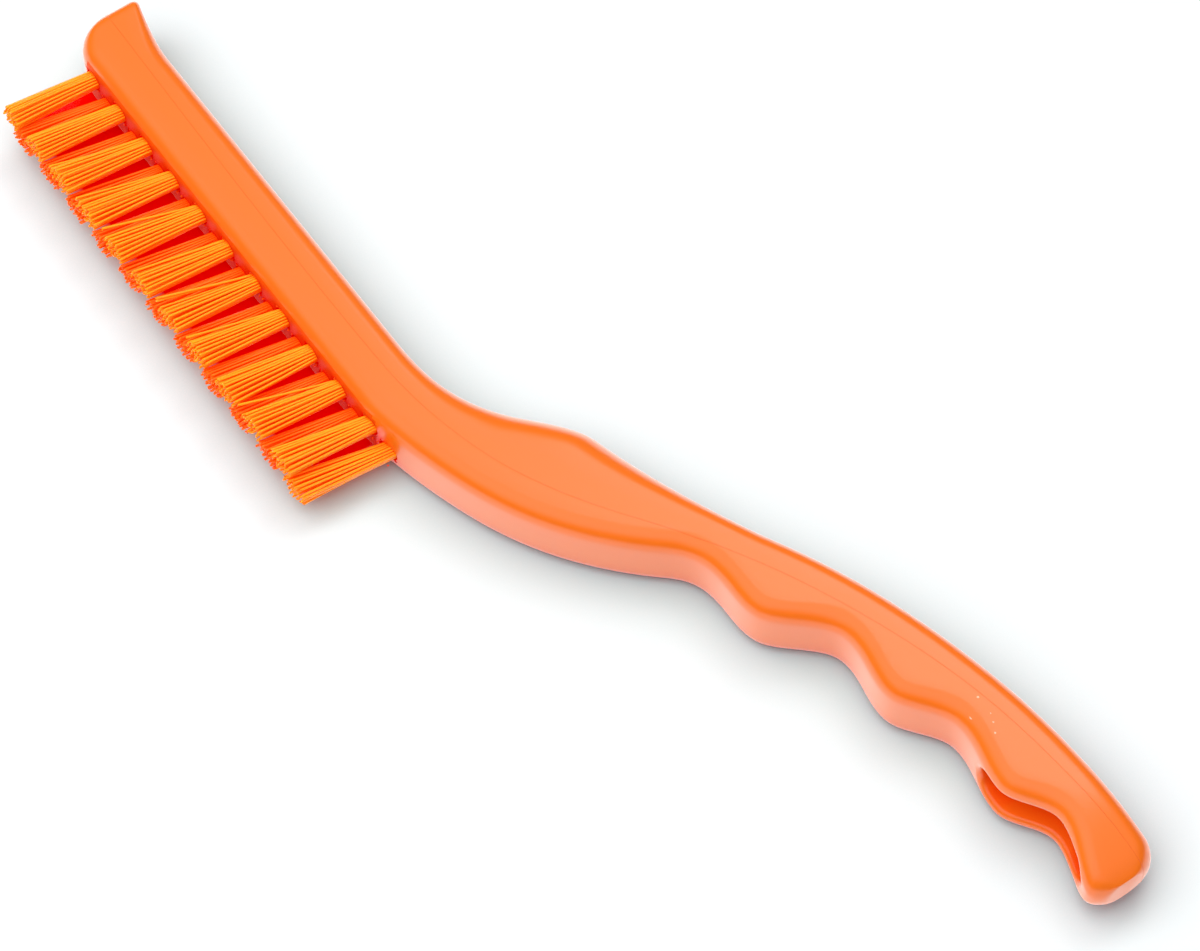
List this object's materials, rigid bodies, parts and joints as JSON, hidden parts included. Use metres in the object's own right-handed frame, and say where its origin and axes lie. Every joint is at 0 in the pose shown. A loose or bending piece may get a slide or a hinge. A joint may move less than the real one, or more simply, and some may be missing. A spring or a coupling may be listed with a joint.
{
  "type": "grout brush",
  "caption": "Narrow hand brush for grout lines: a curved moulded handle with finger grooves, a thumb rest and a hanging slot, and a slim head set with staggered bristle tufts.",
  "frame": {"origin": "middle of the bounding box, on the side face that the brush lies on", "axes": "+X from the nose to the handle end along the bristle face, +Y from the bristle tips to the back, +Z across the brush, up from the side it lies on"},
  "size_m": [0.2192, 0.0696, 0.0126],
  "materials": {
    "handle": "satin to glossy moulded polypropylene, orange",
    "bristle": "stiff crimp-free synthetic filament, orange",
    "anchor_wire": "bright flat steel wire"
  },
  "bodies": {
    "root": {"handle": "handle", "bristle_tuft_01": "bristle", "bristle_tuft_02": "bristle", "bristle_tuft_03": "bristle", "bristle_tuft_04": "bristle", "bristle_tuft_05": "bristle", "bristle_tuft_06": "bristle", "bristle_tuft_07": "bristle", "bristle_tuft_08": "bristle", "bristle_tuft_09": "bristle", "bristle_tuft_10": "bristle", "bristle_tuft_11": "bristle", "bristle_tuft_12": "bristle", "bristle_tuft_13": "bristle", "bristle_tuft_14": "bristle", "bristle_tuft_15": "bristle", "bristle_tuft_16": "bristle", "bristle_tuft_17": "bristle", "bristle_tuft_18": "bristle", "bristle_tuft_19": "bristle", "bristle_tuft_20": "bristle", "bristle_tuft_21": "bristle", "bristle_tuft_22": "bristle", "anchor_01": "anchor_wire", "anchor_02": "anchor_wire", "anchor_03": "anchor_wire", "anchor_04": "anchor_wire", "anchor_05": "anchor_wire", "anchor_06": "anchor_wire", "anchor_07": "anchor_wire", "anchor_08": "anchor_wire", "anchor_09": "anchor_wire", "anchor_10": "anchor_wire", "anchor_11": "anchor_wire", "anchor_12": "anchor_wire", "anchor_13": "anchor_wire", "anchor_14": "anchor_wire", "anchor_15": "anchor_wire", "anchor_16": "anchor_wire", "anchor_17": "anchor_wire", "anchor_18": "anchor_wire", "anchor_19": "anchor_wire", "anchor_20": "anchor_wire", "anchor_21": "anchor_wire", "anchor_22": "anchor_wire"}
  },
  "joints": []
}
